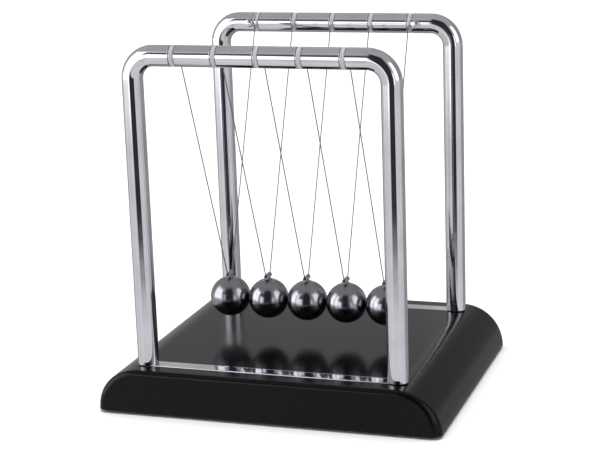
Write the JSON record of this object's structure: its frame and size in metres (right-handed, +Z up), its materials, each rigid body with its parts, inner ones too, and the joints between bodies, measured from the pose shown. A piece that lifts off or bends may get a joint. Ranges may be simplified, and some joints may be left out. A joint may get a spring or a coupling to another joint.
{
  "type": "newtons cradle",
  "caption": "Desk pendulum toy: a row of steel balls hung on V-shaped lines from two chrome tube frames on a black base with rounded ends.",
  "frame": {"origin": "middle of the footprint, on the surface that the four feet stand on", "axes": "+X along the row of balls, +Y from the front frame to the rear frame, which has the two anchor screws, +Z up"},
  "size_m": [0.1854, 0.1554, 0.1933],
  "materials": {
    "chrome_plate": "bright chrome plate",
    "ball_steel": "mirror-polished dark steel",
    "lug_metal": "nickel plate",
    "zinc_steel": "zinc-plated",
    "base_plastic": "smooth semi-gloss black",
    "cover_plastic": "fine-grained matt black",
    "rubber": "matt black",
    "line_nylon": "clear monofilament",
    "wound_line": "whitish turns of the same monofilament"
  },
  "bodies": {
    "stand": {"base_shell": "base_plastic", "bottom_cover": "cover_plastic", "cover_screw": "zinc_steel", "foot_front_left": "rubber", "foot_front_right": "rubber", "foot_rear_left": "rubber", "foot_rear_right": "rubber", "front_frame": "chrome_plate", "rear_frame": "chrome_plate", "front_foot_bar": "chrome_plate", "rear_foot_bar": "chrome_plate", "leg_plug_front_left": "zinc_steel", "leg_washer_front_left": "zinc_steel", "leg_screw_front_left": "zinc_steel", "leg_plug_front_right": "zinc_steel", "leg_washer_front_right": "zinc_steel", "leg_screw_front_right": "zinc_steel", "leg_plug_rear_left": "zinc_steel", "leg_washer_rear_left": "zinc_steel", "leg_screw_rear_left": "zinc_steel", "leg_plug_rear_right": "zinc_steel", "leg_washer_rear_right": "zinc_steel", "leg_screw_rear_right": "zinc_steel", "anchor_screw_left": "zinc_steel", "anchor_screw_right": "zinc_steel", "front_loop_1": "wound_line", "rear_loop_1": "wound_line", "front_loop_2": "wound_line", "rear_loop_2": "wound_line", "front_loop_3": "wound_line", "rear_loop_3": "wound_line", "front_loop_4": "wound_line", "rear_loop_4": "wound_line", "front_loop_5": "wound_line", "rear_loop_5": "wound_line"},
    "hanging_ball_1": {"ball_1": "ball_steel", "lug_1": "lug_metal", "line_1": "line_nylon", "front_knot_1": "line_nylon", "rear_knot_1": "line_nylon"},
    "hanging_ball_2": {"ball_2": "ball_steel", "lug_2": "lug_metal", "line_2": "line_nylon", "front_knot_2": "line_nylon", "rear_knot_2": "line_nylon"},
    "hanging_ball_3": {"ball_3": "ball_steel", "lug_3": "lug_metal", "line_3": "line_nylon", "front_knot_3": "line_nylon", "rear_knot_3": "line_nylon"},
    "hanging_ball_4": {"ball_4": "ball_steel", "lug_4": "lug_metal", "line_4": "line_nylon", "front_knot_4": "line_nylon", "rear_knot_4": "line_nylon"},
    "hanging_ball_5": {"ball_5": "ball_steel", "lug_5": "lug_metal", "line_5": "line_nylon", "front_knot_5": "line_nylon", "rear_knot_5": "line_nylon"}
  },
  "joints": [
    {"name": "swing_1", "type": "hinge", "parent": "stand", "child": "hanging_ball_1", "pos_m": [-0.0445, 0, 0.1865], "axis": [0, 1, 0], "range_deg": [0, 55]},
    {"name": "swing_2", "type": "hinge", "parent": "stand", "child": "hanging_ball_2", "pos_m": [-0.02225, 0, 0.1865], "axis": [0, -1, 0], "range_deg": [0, 55]},
    {"name": "swing_3", "type": "hinge", "parent": "stand", "child": "hanging_ball_3", "pos_m": [0, 0, 0.1865], "axis": [0, -1, 0], "range_deg": [0, 55]},
    {"name": "swing_4", "type": "hinge", "parent": "stand", "child": "hanging_ball_4", "pos_m": [0.02225, 0, 0.1865], "axis": [0, -1, 0], "range_deg": [0, 55]},
    {"name": "swing_5", "type": "hinge", "parent": "stand", "child": "hanging_ball_5", "pos_m": [0.0445, 0, 0.1865], "axis": [0, -1, 0], "range_deg": [0, 55]}
  ],
  "couplings": [
    {"joint": "swing_2", "follows": "swing_5", "ratio": 1},
    {"joint": "swing_3", "follows": "swing_5", "ratio": 1},
    {"joint": "swing_4", "follows": "swing_5", "ratio": 1}
  ]
}
